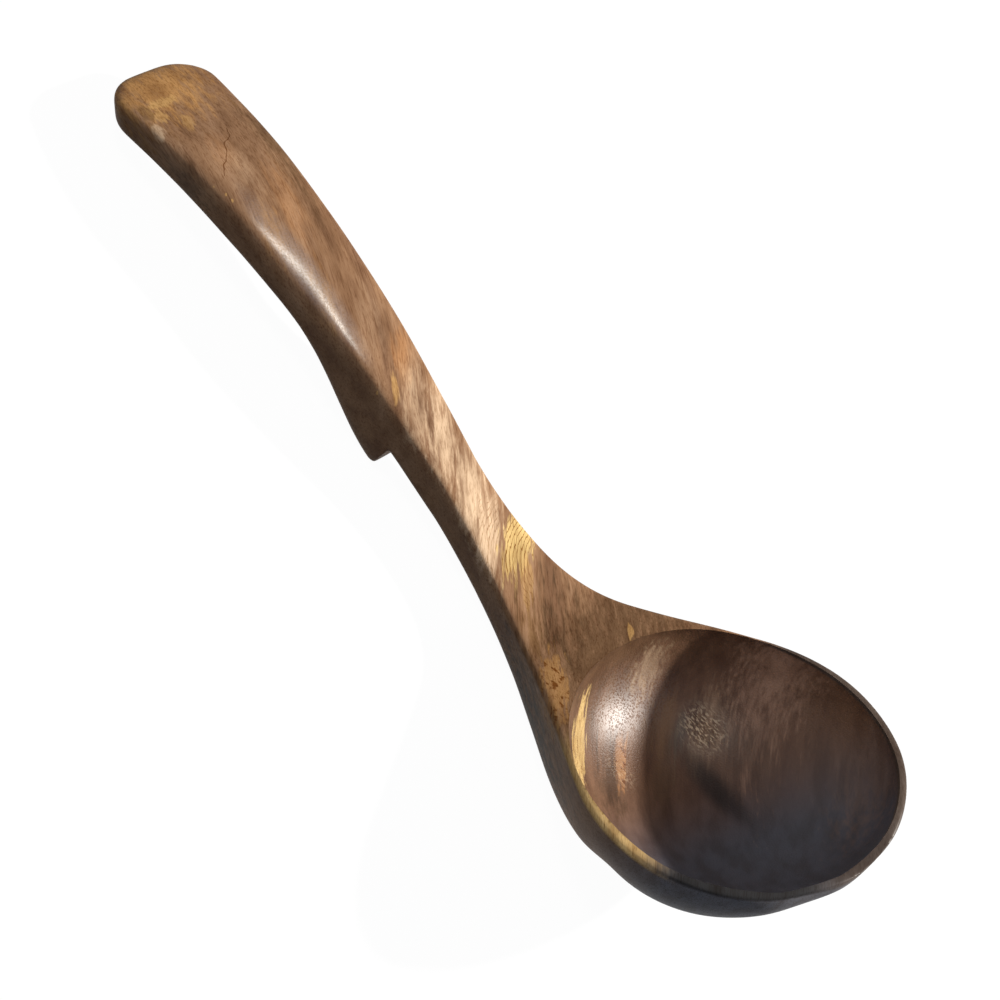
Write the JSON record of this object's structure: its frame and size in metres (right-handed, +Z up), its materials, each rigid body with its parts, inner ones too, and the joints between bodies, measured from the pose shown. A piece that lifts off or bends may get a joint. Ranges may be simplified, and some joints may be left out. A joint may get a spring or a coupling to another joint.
{
  "type": "wooden ladle",
  "caption": "Hand-carved wooden ladle: a round hollowed bowl, a pear-shaped shoulder and a rising handle with a hook that rests on the rim of a pot.",
  "frame": {"origin": "middle of the small flat under the bowl, on the surface that the ladle lies on", "axes": "+X from the bowl towards the end of the handle, +Y across the bowl, +Z up; the ladle lies at rest on the flat under its bowl and on the nose of the pot hook"},
  "size_m": [0.322, 0.0958, 0.0753],
  "materials": {
    "oiled_wood": "hand carved, sanded and oiled, dark brown with pale sapwood streaks, satin"
  },
  "bodies": {
    "root": {"bowl": "oiled_wood", "handle": "oiled_wood", "pot_hook": "oiled_wood"}
  },
  "joints": []
}
